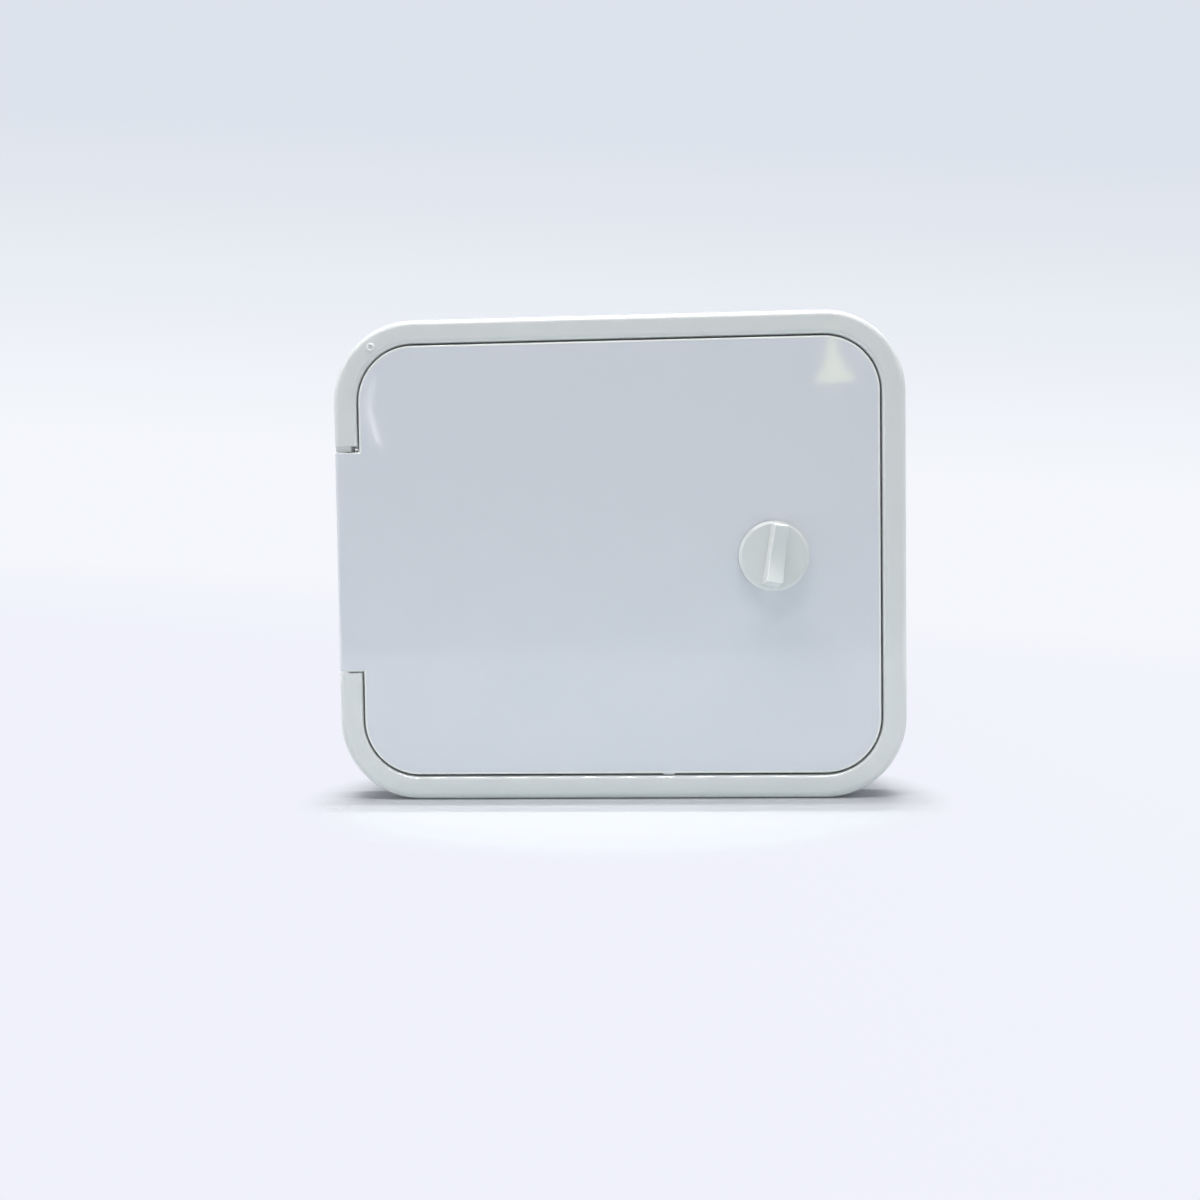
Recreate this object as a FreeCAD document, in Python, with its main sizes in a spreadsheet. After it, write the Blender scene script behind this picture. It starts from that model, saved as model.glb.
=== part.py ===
"""Service hatch for a caravan wall: a moulded surround, a hinged door and a thumb turn latch.

Millimetres. +Z is up, +X is to the right as seen from outside, and the hatch faces -Y.
The wall's outer skin is the plane y = 0, and the origin is the middle of the surround on that plane.
"""
import FreeCAD, Part

import math
import os

import Sketcher

Vector = FreeCAD.Vector
Rotation = FreeCAD.Rotation
Placement = FreeCAD.Placement

# Driving sizes, in millimetres and degrees: name, value, what it is.
SIZES = (
    ("frame_width", 217.5, "surround, outside width"),
    ("frame_height", 184.6, "surround, outside height"),
    ("frame_depth", 15.0, "how far the surround stands out of the wall"),
    ("frame_radius", 31.0, "outside corner radius"),
    ("ring_width", 9.0, "visible width of the surround"),
    ("ring_wall", 2.5, "moulded wall of the surround"),
    ("ring_outer_round", 2.7, "rounding of the surround's outer front edge"),
    ("ring_inner_round", 1.5, "rounding of the surround's inner front edge"),
    ("ledge_width", 18.0, "screw ledge behind the door, from the opening inwards"),
    ("ledge_thick", 3.0, "thickness of the screw ledge"),
    ("throat_radius", 12.0, "corner radius of the collar"),
    ("collar_wall", 2.5, "wall of the collar that lines the cut-out"),
    ("collar_depth", 25.0, "how far the collar reaches into the wall"),
    ("channel_rib", 1.6, "thickness of the ribs in the surround's back channel"),
    ("channel_rib_drop", 1.0, "how far those ribs stay below the wall plane"),
    ("channel_rib_pitch", 40.0, "spacing of the ribs in the back channel"),
    ("screw_hole", 4.2, "diameter of the fixing holes"),
    ("screw_inset", 12.5, "fixing holes, in from the edge of the opening"),
    ("side_screw_spacing", 100.0, "upper to lower hole in each side"),
    ("level_screw_spacing", 110.0, "left to right hole in the top and bottom"),
    ("strike_width", 22.0, "height of the strike that the latch cam turns behind"),
    ("strike_reach", 8.0, "how far the strike stands out of the collar"),
    ("door_gap", 1.2, "shut gap round the door"),
    ("door_recess", 0.5, "door face behind the surround's face"),
    ("door_skin", 2.5, "thickness of the door's face"),
    ("door_edge_bevel", 0.55, "bevel round the door's front edge"),
    ("skirt_inset", 2.0, "skirt, in from the door's edge"),
    ("skirt_wall", 2.2, "thickness of the skirt"),
    ("back_rib", 1.6, "thickness of the ribs on the door's back"),
    ("back_rib_height", 3.5, "height of those ribs"),
    ("back_rib_pitch", 44.0, "spacing of those ribs"),
    ("seal_width", 5.0, "width of the door seal"),
    ("seal_height", 4.0, "height of the door seal"),
    ("seal_shoulder", 1.5, "bevel along the seal's front edges"),
    ("seal_clearance", 0.3, "seal to skirt with the door shut"),
    ("tab_height", 84.5, "hinge tab, top to bottom"),
    ("tab_top_gap", 2.4, "gap above the hinge tab"),
    ("tab_bottom_gap", 0.6, "gap below the hinge tab"),
    ("tab_round", 2.0, "rounding of the hinge tab's outer edge"),
    ("hinge_inset", 4.0, "hinge axis, in from the surround's outer edge"),
    ("hinge_setback", 3.5, "hinge axis, behind the surround's face"),
    ("hinge_block", 4.0, "block in the end of the surround that grips a pin"),
    ("hinge_block_back", 3.5, "how far that block reaches behind the hinge axis"),
    ("hinge_neck_side", 0.6, "neck under the upper block, in from the surround's outer edge"),
    ("hinge_neck_width", 5.8, "width of that neck"),
    ("hinge_neck_setback", 1.6, "face of the neck behind the surround's face"),
    ("hinge_neck_gap", 0.4, "neck to hinge tab"),
    ("pin_diameter", 2.5, "hinge pin"),
    ("pin_bite", 8.0, "length of pin inside the tab"),
    ("pin_tail", 1.0, "length of pin behind its block"),
    ("pin_grip", 0.02, "radial clearance of the pin in the surround"),
    ("pin_running", 0.1, "radial clearance of the pin in the tab"),
    ("knuckle_radius", 2.8, "barrel of the tab round a pin"),
    ("knuckle_length", 16.0, "length of that barrel"),
    ("knob_side", 39.8, "latch axis, in from the door's free side"),
    ("knob_diameter", 26.5, "disc of the thumb turn"),
    ("knob_thick", 2.6, "thickness of the disc"),
    ("knob_bevel", 1.1, "bevel round the disc"),
    ("knob_float", 0.3, "disc to door face"),
    ("knob_tilt", 8.0, "how far the grip leans to the right at rest, degrees"),
    ("grip_width", 6.0, "thickness of the grip bar at its lower end"),
    ("grip_taper", 1.1, "how much thinner the bar is at its upper end"),
    ("grip_height", 10.4, "height of the grip bar over the disc"),
    ("grip_top", 11.0, "upper end of the grip's crest from the axis"),
    ("grip_bottom", 9.8, "lower end of the grip's crest from the axis"),
    ("grip_flare", 1.6, "how much longer each end of the grip is at the disc"),
    ("grip_dip", 1.8, "hollow in the grip's crest"),
    ("grip_bevel", 0.6, "bevel along the grip's crest"),
    ("stem_diameter", 8.0, "stem of the thumb turn"),
    ("stem_running", 0.15, "radial clearance of the stem in the door"),
    ("stem_square", 6.0, "square end of the stem"),
    ("square_clearance", 0.05, "cam hole to square, each side"),
    ("boss_diameter", 16.0, "boss round the stem on the door's back"),
    ("boss_end", 0.7, "end of the boss in front of the wall plane"),
    ("washer_float", 0.2, "washer to boss"),
    ("washer_diameter", 14.0, "washer under the cam"),
    ("washer_bore", 9.0, "hole in that washer"),
    ("washer_thick", 1.0, "thickness of that washer"),
    ("cam_width", 12.0, "latch cam, across"),
    ("cam_reach", 4.5, "how far the latch cam reaches behind the strike"),
    ("cam_thick", 2.5, "thickness of the cam"),
    ("cam_screw_head", 9.0, "head of the cam screw"),
    ("cam_screw_head_thick", 2.4, "thickness of that head"),
    ("cam_screw_shank", 3.0, "shank of the cam screw"),
    ("cam_screw_length", 10.0, "length of that shank"),
    ("cam_screw_clearance", 0.05, "radial clearance of the shank in the stem"),
)

doc = FreeCAD.newDocument("service_hatch")
sheet = doc.addObject("Spreadsheet::Sheet", "Sizes")
for row, (name, size, meaning) in enumerate(SIZES, start=1):
    sheet.set(f"A{row}", meaning)
    sheet.set(f"B{row}", str(size))
    sheet.setAlias(f"B{row}", name)
doc.recompute()


def size(text):
    """Turn a sum of size names into an expression on the sheet."""
    words = text.replace("(", " ( ").replace(")", " ) ").split()
    named = {name for name, number, meaning in SIZES}
    return " ".join(f"Sizes.{word}" if word in named else word for word in words)


def value(text):
    """The present number of a sum of size names."""
    return float(sheet.evalExpression(size(text)))


# Sizes that follow from the driving ones, as sums of size names.
OPENING_WIDTH = "( frame_width - 2 * ring_width )"
OPENING_HEIGHT = "( frame_height - 2 * ring_width )"
OPENING_RADIUS = "( frame_radius - ring_width )"
COLLAR_WIDTH = f"( {OPENING_WIDTH} - 2 * ledge_width )"
COLLAR_HEIGHT = f"( {OPENING_HEIGHT} - 2 * ledge_width )"
THROAT_WIDTH = f"( {COLLAR_WIDTH} - 2 * collar_wall )"
THROAT_HEIGHT = f"( {COLLAR_HEIGHT} - 2 * collar_wall )"
DOOR_WIDTH = f"( {OPENING_WIDTH} - 2 * door_gap )"
DOOR_HEIGHT = f"( {OPENING_HEIGHT} - 2 * door_gap )"
DOOR_RADIUS = f"( {OPENING_RADIUS} - door_gap )"
DOOR_FRONT = "( frame_depth - door_recess )"
DOOR_BACK = f"( {DOOR_FRONT} - door_skin )"
SEAL_FRONT = "( ledge_thick + seal_height )"
SKIRT_END = f"( {SEAL_FRONT} + seal_clearance )"
NOTCH_TOP = "( tab_height / 2 + tab_top_gap )"
NOTCH_BOTTOM = "( tab_height / 2 + tab_bottom_gap )"
HINGE_SIDE = "( frame_width / 2 - hinge_inset )"
HINGE_FRONT = "( frame_depth - hinge_setback )"
WASHER_FRONT = "( boss_end - washer_float )"
WASHER_BACK = f"( washer_thick - {WASHER_FRONT} )"
CAM_BACK = f"( {WASHER_BACK} + cam_thick )"
LATCH_SIDE = f"( {DOOR_WIDTH} / 2 - knob_side )"
CAM_LENGTH = f"( {THROAT_WIDTH} / 2 - strike_reach + cam_reach - {LATCH_SIDE} )"


def bind(item, prop, text):
    """Tie a property to a sum of size names."""
    item.setExpression(prop, size(text))


def new_body(label):
    """A body whose label is the name of its file."""
    item = doc.addObject("PartDesign::Body", label)
    item.Label = label
    return item


def new_sketch(body, name, role="XZ_Plane", offset="0"):
    """A sketch on one of the body's own planes, moved along that plane's normal.

    On XZ_Plane the sketch's x and y are the hatch's X and Z, and the normal points to the front.
    """
    sketch = body.newObject("Sketcher::SketchObject", name)
    plane = next(item for item in body.Origin.OriginFeatures if item.Role == role)
    sketch.AttachmentSupport = [(plane, "")]
    sketch.MapMode = "FlatFace"
    bind(sketch, "AttachmentOffset.Base.z", offset)
    doc.recompute()
    return sketch


def hold(sketch, tag, text, *constraint):
    """Add one constraint, tied to a sum of size names."""
    index = sketch.addConstraint(Sketcher.Constraint(*constraint, value(text)))
    sketch.renameConstraint(index, tag)
    bind(sketch, f"Constraints.{tag}", text)


def rounded_rectangle(sketch, tag, width, height, radius):
    """A rounded rectangle about the sketch's origin."""
    half_x = value(width) / 2
    half_y = value(height) / 2
    r = value(radius)
    in_x = half_x - r
    in_y = half_y - r
    sides = (
        (-in_x, -half_y, in_x, -half_y),
        (half_x, -in_y, half_x, in_y),
        (in_x, half_y, -in_x, half_y),
        (-half_x, in_y, -half_x, -in_y),
    )
    centres = ((in_x, -in_y), (in_x, in_y), (-in_x, in_y), (-in_x, -in_y))
    lines = []
    arcs = []
    for turn, (side, centre) in enumerate(zip(sides, centres)):
        x0, y0, x1, y1 = side
        lines.append(sketch.addGeometry(Part.LineSegment(Vector(x0, y0, 0), Vector(x1, y1, 0))))
        circle = Part.Circle(Vector(*centre, 0), Vector(0, 0, 1), r)
        start = math.radians(90 * turn - 90)
        arcs.append(sketch.addGeometry(Part.ArcOfCircle(circle, start, start + math.pi / 2)))
    for turn in range(4):
        after = (turn + 1) % 4
        sketch.addConstraint(Sketcher.Constraint("Tangent", lines[turn], 2, arcs[turn], 1))
        sketch.addConstraint(Sketcher.Constraint("Tangent", arcs[turn], 2, lines[after], 1))
        level = "Horizontal" if turn % 2 == 0 else "Vertical"
        sketch.addConstraint(Sketcher.Constraint(level, lines[turn]))
    for arc in arcs[1:]:
        sketch.addConstraint(Sketcher.Constraint("Equal", arcs[0], arc))
    sketch.addConstraint(Sketcher.Constraint("Symmetric", arcs[0], 3, arcs[2], 3, -1, 1))
    hold(sketch, f"{tag}_radius", radius, "Radius", arcs[0])
    hold(sketch, f"{tag}_width", width, "DistanceX", lines[3], 1, lines[1], 1)
    hold(sketch, f"{tag}_height", height, "DistanceY", lines[0], 1, lines[2], 1)


def rectangle(sketch, tag, left, right, bottom, top):
    """A rectangle whose sides stand at the given places from the sketch's origin."""
    x0 = value(left)
    x1 = value(right)
    y0 = value(bottom)
    y1 = value(top)
    corners = (Vector(x0, y0, 0), Vector(x1, y0, 0), Vector(x1, y1, 0), Vector(x0, y1, 0))
    lines = []
    for turn in range(4):
        segment = Part.LineSegment(corners[turn], corners[(turn + 1) % 4])
        lines.append(sketch.addGeometry(segment))
    for turn in range(4):
        after = (turn + 1) % 4
        sketch.addConstraint(Sketcher.Constraint("Coincident", lines[turn], 2, lines[after], 1))
        level = "Horizontal" if turn % 2 == 0 else "Vertical"
        sketch.addConstraint(Sketcher.Constraint(level, lines[turn]))
    hold(sketch, f"{tag}_left", left, "DistanceX", -1, 1, lines[0], 1)
    hold(sketch, f"{tag}_right", right, "DistanceX", -1, 1, lines[1], 1)
    hold(sketch, f"{tag}_bottom", bottom, "DistanceY", -1, 1, lines[0], 1)
    hold(sketch, f"{tag}_top", top, "DistanceY", -1, 1, lines[2], 1)


def disc(sketch, tag, x, y, diameter):
    """A circle at the given place from the sketch's origin."""
    centre = Vector(value(x), value(y), 0)
    circle = sketch.addGeometry(Part.Circle(centre, Vector(0, 0, 1), value(diameter) / 2))
    hold(sketch, f"{tag}_x", x, "DistanceX", -1, 1, circle, 3)
    hold(sketch, f"{tag}_y", y, "DistanceY", -1, 1, circle, 3)
    hold(sketch, f"{tag}_diameter", diameter, "Diameter", circle)


def feature(kind, body, name, sketch, length, backwards=False):
    """A pad or pocket of a sketch. A pad grows along the sketch's normal, a pocket cuts against it."""
    item = body.newObject(f"PartDesign::{kind}", name)
    item.Profile = sketch
    item.Reversed = backwards
    bind(item, "Length", length)
    doc.recompute()
    return item


def shaped_edges(kind, body, name, base, amount, wanted):
    """Fillet or chamfer the edges of the base feature that the test picks."""
    picked = [f"Edge{i}" for i, edge in enumerate(base.Shape.Edges, start=1) if wanted(edge)]
    item = body.newObject(f"PartDesign::{kind}", name)
    item.Base = (base, picked)
    bind(item, "Radius" if kind == "Fillet" else "Size", amount)
    doc.recompute()
    return item


def on_front(edge, front):
    """Whether the whole edge lies on the plane that is this far in front of the wall."""
    box = edge.BoundBox
    return abs(box.YMin + front) < 1e-6 and abs(box.YMax + front) < 1e-6


def make_frame():
    """The surround, its screw ledge and its collar, moulded in one piece."""
    body = new_body("frame")
    sketch = new_sketch(body, "ring_outline")
    rounded_rectangle(sketch, "outer", "frame_width", "frame_height", "frame_radius")
    rounded_rectangle(sketch, "opening", OPENING_WIDTH, OPENING_HEIGHT, OPENING_RADIUS)
    ring = feature("Pad", body, "ring", sketch, "frame_depth")

    front = value("frame_depth")
    middle_x = value(f"{OPENING_WIDTH} / 2 + ring_width / 2")
    middle_y = value(f"{OPENING_HEIGHT} / 2 + ring_width / 2")
    corner = value(f"{OPENING_RADIUS} + ring_width / 2")

    def outside(edge):
        point = edge.valueAt((edge.FirstParameter + edge.LastParameter) / 2)
        over_x = max(abs(point.x) - (middle_x - corner), 0)
        over_y = max(abs(point.z) - (middle_y - corner), 0)
        return math.hypot(over_x, over_y) > corner

    outer = shaped_edges("Fillet", body, "outer_rounding", ring, "ring_outer_round",
                         lambda edge: on_front(edge, front) and outside(edge))
    shaped_edges("Fillet", body, "inner_rounding", outer, "ring_inner_round",
                 lambda edge: on_front(edge, front) and not outside(edge))

    sketch = new_sketch(body, "ledge_outline")
    rounded_rectangle(sketch, "rim", f"{OPENING_WIDTH} + ring_wall", f"{OPENING_HEIGHT} + ring_wall",
                      f"{OPENING_RADIUS} + ring_wall / 2")
    rounded_rectangle(sketch, "throat", THROAT_WIDTH, THROAT_HEIGHT, "throat_radius - collar_wall")
    feature("Pad", body, "ledge", sketch, "ledge_thick")

    sketch = new_sketch(body, "collar_outline")
    rounded_rectangle(sketch, "collar", COLLAR_WIDTH, COLLAR_HEIGHT, "throat_radius")
    rounded_rectangle(sketch, "throat", THROAT_WIDTH, THROAT_HEIGHT, "throat_radius - collar_wall")
    feature("Pad", body, "collar", sketch, "collar_depth", backwards=True)

    sketch = new_sketch(body, "strike_outline")
    rectangle(sketch, "strike", f"{THROAT_WIDTH} / 2 - strike_reach",
              f"{COLLAR_WIDTH} / 2", "- strike_width / 2", "strike_width / 2")
    feature("Pad", body, "strike", sketch, "ledge_thick")

    sketch = new_sketch(body, "channel_outline")
    rounded_rectangle(sketch, "outer", "frame_width - 2 * ring_wall", "frame_height - 2 * ring_wall",
                      "frame_radius - ring_wall")
    rounded_rectangle(sketch, "inner", f"{OPENING_WIDTH} + 2 * ring_wall",
                      f"{OPENING_HEIGHT} + 2 * ring_wall", f"{OPENING_RADIUS} + ring_wall")
    feature("Pocket", body, "channel", sketch, "frame_depth - ring_wall", backwards=True)

    sketch = new_sketch(body, "channel_rib_outline", offset="channel_rib_drop")
    for side, sign in (("upper", ""), ("lower", "-")):
        for step in (-1, 0, 1):
            tag = f"{side}_{step + 1}"
            place = f"{step} * channel_rib_pitch"
            near = f"{OPENING_HEIGHT} / 2 + ring_wall / 2"
            far = "frame_height / 2 - ring_wall / 2"
            low, high = (near, far) if sign == "" else (f"- ( {far} )", f"- ( {near} )")
            rectangle(sketch, tag, f"{place} - channel_rib / 2", f"{place} + channel_rib / 2", low, high)
    for step in (-1, 0, 1):
        place = f"{step} * channel_rib_pitch"
        rectangle(sketch, f"right_{step + 1}", f"{OPENING_WIDTH} / 2 + ring_wall / 2",
                  "frame_width / 2 - ring_wall / 2", f"{place} - channel_rib / 2",
                  f"{place} + channel_rib / 2")
    feature("Pad", body, "channel_ribs", sketch, "frame_depth - ring_wall / 2 - channel_rib_drop")

    left = "ring_wall / 2 - frame_width / 2"
    right = f"- {OPENING_WIDTH} / 2 - ring_wall / 2"
    block_back = f"( {HINGE_FRONT} - hinge_block_back )"
    sketch = new_sketch(body, "hinge_block_outline", offset=block_back)
    rectangle(sketch, "upper", left, right, NOTCH_TOP, f"{NOTCH_TOP} + hinge_block")
    rectangle(sketch, "lower", left, right, f"- {NOTCH_BOTTOM} - hinge_block", f"- {NOTCH_BOTTOM}")
    feature("Pad", body, "hinge_blocks", sketch, f"frame_depth - ring_wall / 2 - {block_back}")
    sketch = new_sketch(body, "hinge_plate_outline")
    rectangle(sketch, "plate", left, right, f"- {NOTCH_BOTTOM}", NOTCH_TOP)
    feature("Pad", body, "hinge_plate", sketch, "ledge_thick")

    sketch = new_sketch(body, "notch_outline", offset="ledge_thick")
    rectangle(sketch, "notch", "- frame_width / 2 - ring_wall", f"- {OPENING_WIDTH} / 2 + door_gap",
              f"- {NOTCH_BOTTOM}", NOTCH_TOP)
    feature("Pocket", body, "hinge_notch", sketch, "frame_depth", backwards=True)

    sketch = new_sketch(body, "hinge_neck_outline", offset=block_back)
    neck = "hinge_neck_side - frame_width / 2"
    rectangle(sketch, "neck", neck, f"{neck} + hinge_neck_width",
              "tab_height / 2 + hinge_neck_gap", f"{NOTCH_TOP} + hinge_block / 2")
    feature("Pad", body, "hinge_neck", sketch, f"frame_depth - hinge_neck_setback - {block_back}")

    length = "hinge_block + pin_tail"
    for side, sign, start in (("upper", "", NOTCH_TOP), ("lower", "-", NOTCH_BOTTOM)):
        sketch = new_sketch(body, f"{side}_pin_hole_outline", "XY_Plane", f"{sign} ( {start} + {length} )")
        disc(sketch, "hole", f"- {HINGE_SIDE}", f"- {HINGE_FRONT}", "pin_diameter + 2 * pin_grip")
        feature("Pocket", body, f"{side}_pin_hole", sketch, f"{start} + {length} - tab_height / 2",
                backwards=(side == "lower"))

    sketch = new_sketch(body, "screw_hole_outline")
    level_x = "level_screw_spacing / 2"
    level_y = f"( {OPENING_HEIGHT} / 2 - screw_inset )"
    side_x = f"( {OPENING_WIDTH} / 2 - screw_inset )"
    side_y = "side_screw_spacing / 2"
    for group, x, y in (("level", level_x, level_y), ("side", side_x, side_y)):
        for number, (sign_x, sign_y) in enumerate((("", ""), ("-", ""), ("", "-"), ("-", "-"))):
            disc(sketch, f"{group}_{number}", f"{sign_x} {x}", f"{sign_y} {y}", "screw_hole")
    feature("Pocket", body, "screw_holes", sketch, "ledge_thick", backwards=True)
    return body


def make_seal():
    """The soft strip on the ledge that the door's skirt closes on."""
    body = new_body("door_seal")
    sketch = new_sketch(body, "seal_outline", offset="ledge_thick")
    middle = "( door_gap + skirt_inset + skirt_wall / 2 )"
    for edge, sign in (("outer", "+"), ("inner", "-")):
        rounded_rectangle(sketch, edge, f"{OPENING_WIDTH} - 2 * {middle} {sign} seal_width",
                          f"{OPENING_HEIGHT} - 2 * {middle} {sign} seal_width",
                          f"{OPENING_RADIUS} - {middle} {sign} seal_width / 2")
    strip = feature("Pad", body, "strip", sketch, "seal_height")
    front = value(SEAL_FRONT)
    shaped_edges("Chamfer", body, "shoulders", strip, "seal_shoulder", lambda edge: on_front(edge, front))
    return body


def make_door():
    """The door: a moulded face with a hinge tab, a skirt, back ribs and a boss for the latch."""
    body = new_body("door_panel")
    sketch = new_sketch(body, "face_outline", offset=DOOR_BACK)
    rounded_rectangle(sketch, "face", DOOR_WIDTH, DOOR_HEIGHT, DOOR_RADIUS)
    feature("Pad", body, "face", sketch, "door_skin")

    sketch = new_sketch(body, "tab_outline", offset=DOOR_BACK)
    rectangle(sketch, "tab", "- frame_width / 2", f"- {DOOR_WIDTH} / 2 + skirt_inset",
              "- tab_height / 2", "tab_height / 2")
    tab = feature("Pad", body, "tab", sketch, "door_skin")

    front = value(DOOR_FRONT)

    def upright_at(edge, place):
        box = edge.BoundBox
        return on_front(edge, front) and box.XLength < 1e-6 and abs(box.XMin - place) < 1e-6

    left = -value("frame_width / 2")
    rolled = shaped_edges("Fillet", body, "tab_edge", tab, "tab_round", lambda edge: upright_at(edge, left))
    seam = left + value("tab_round")
    shaped_edges("Chamfer", body, "front_edge", rolled, "door_edge_bevel",
                 lambda edge: on_front(edge, front) and not upright_at(edge, seam))

    sketch = new_sketch(body, "skirt_outline", offset=DOOR_BACK)
    for edge, inset in (("outer", "skirt_inset"), ("inner", "( skirt_inset + skirt_wall )")):
        rounded_rectangle(sketch, edge, f"{DOOR_WIDTH} - 2 * {inset}", f"{DOOR_HEIGHT} - 2 * {inset}",
                          f"{DOOR_RADIUS} - {inset}")
    feature("Pad", body, "skirt", sketch, f"{DOOR_BACK} - {SKIRT_END}", backwards=True)

    sketch = new_sketch(body, "back_rib_outline", offset=DOOR_BACK)
    reach_x = f"( {DOOR_WIDTH} / 2 - skirt_inset - skirt_wall / 2 )"
    reach_y = f"( {DOOR_HEIGHT} / 2 - skirt_inset - skirt_wall / 2 )"
    for step in (-1, 1):
        place = f"{step} * back_rib_pitch"
        rectangle(sketch, f"level_{step + 1}", f"- {reach_x}", reach_x,
                  f"{place} - back_rib / 2", f"{place} + back_rib / 2")
    feature("Pad", body, "level_ribs", sketch, "back_rib_height", backwards=True)
    sketch = new_sketch(body, "upright_rib_outline", offset=DOOR_BACK)
    for step in (-1, 0):
        place = f"{step} * back_rib_pitch"
        rectangle(sketch, f"upright_{step + 1}", f"{place} - back_rib / 2", f"{place} + back_rib / 2",
                  f"- {reach_y}", reach_y)
    feature("Pad", body, "upright_ribs", sketch, "back_rib_height", backwards=True)

    sketch = new_sketch(body, "boss_outline", offset=DOOR_BACK)
    disc(sketch, "boss", LATCH_SIDE, "0", "boss_diameter")
    feature("Pad", body, "boss", sketch, f"{DOOR_BACK} - boss_end", backwards=True)
    sketch = new_sketch(body, "stem_hole_outline", offset=DOOR_FRONT)
    disc(sketch, "hole", LATCH_SIDE, "0", "stem_diameter + 2 * stem_running")
    feature("Pocket", body, "stem_hole", sketch, "frame_depth")

    for side, sign in (("upper", ""), ("lower", "-")):
        sketch = new_sketch(body, f"{side}_knuckle_outline", "XY_Plane", f"{sign} tab_height / 2")
        disc(sketch, "barrel", f"- {HINGE_SIDE}", f"- {HINGE_FRONT}", "2 * knuckle_radius")
        feature("Pad", body, f"{side}_knuckle", sketch, "knuckle_length", backwards=(side == "upper"))
        sketch = new_sketch(body, f"{side}_socket_outline", "XY_Plane", f"{sign} tab_height / 2")
        disc(sketch, "socket", f"- {HINGE_SIDE}", f"- {HINGE_FRONT}", "pin_diameter + 2 * pin_running")
        feature("Pocket", body, f"{side}_socket", sketch, "pin_bite + pin_tail", backwards=(side == "lower"))
    return body


def make_pin(side, start):
    """One hinge pin, pushed through the end of the surround into the tab."""
    pin = doc.addObject("Part::Cylinder", f"hinge_pin_{side}")
    pin.Label = f"hinge_pin_{side}"
    gap = "tab_top_gap" if side == "upper" else "tab_bottom_gap"
    bind(pin, "Radius", "pin_diameter / 2")
    bind(pin, "Height", f"pin_bite + {gap} + hinge_block + pin_tail")
    bind(pin, "Placement.Base.x", f"- {HINGE_SIDE}")
    bind(pin, "Placement.Base.y", f"- {HINGE_FRONT}")
    bind(pin, "Placement.Base.z", start)
    return pin


def turn_with_knob(item):
    """Stand a latch piece on the latch axis, leaning as the grip does."""
    bind(item, "Placement.Base.x", LATCH_SIDE)
    item.Placement.Rotation = Rotation(Vector(0, 1, 0), value("knob_tilt"))
    bind(item, "Placement.Rotation.Angle", "knob_tilt * 1 deg")


def polyline(sketch, points, tag="outline"):
    """A closed outline of straight lines through the given points, each fixed to its two sizes."""
    numbers = [Vector(value(x), value(y), 0) for x, y in points]
    lines = []
    for turn, point in enumerate(numbers):
        after = numbers[(turn + 1) % len(numbers)]
        lines.append(sketch.addGeometry(Part.LineSegment(point, after)))
    for turn in range(len(lines)):
        after = (turn + 1) % len(lines)
        sketch.addConstraint(Sketcher.Constraint("Coincident", lines[turn], 2, lines[after], 1))
    for turn, (x, y) in enumerate(points):
        hold(sketch, f"{tag}_x_{turn}", x, "DistanceX", -1, 1, lines[turn], 1)
        hold(sketch, f"{tag}_y_{turn}", y, "DistanceY", -1, 1, lines[turn], 1)


def spin(body, name, sketch):
    """Turn a half outline about the sketch's upright axis."""
    item = body.newObject("PartDesign::Revolution", name)
    item.Profile = sketch
    item.ReferenceAxis = (sketch, ["V_Axis"])
    item.Angle = 360
    doc.recompute()
    return item


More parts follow.
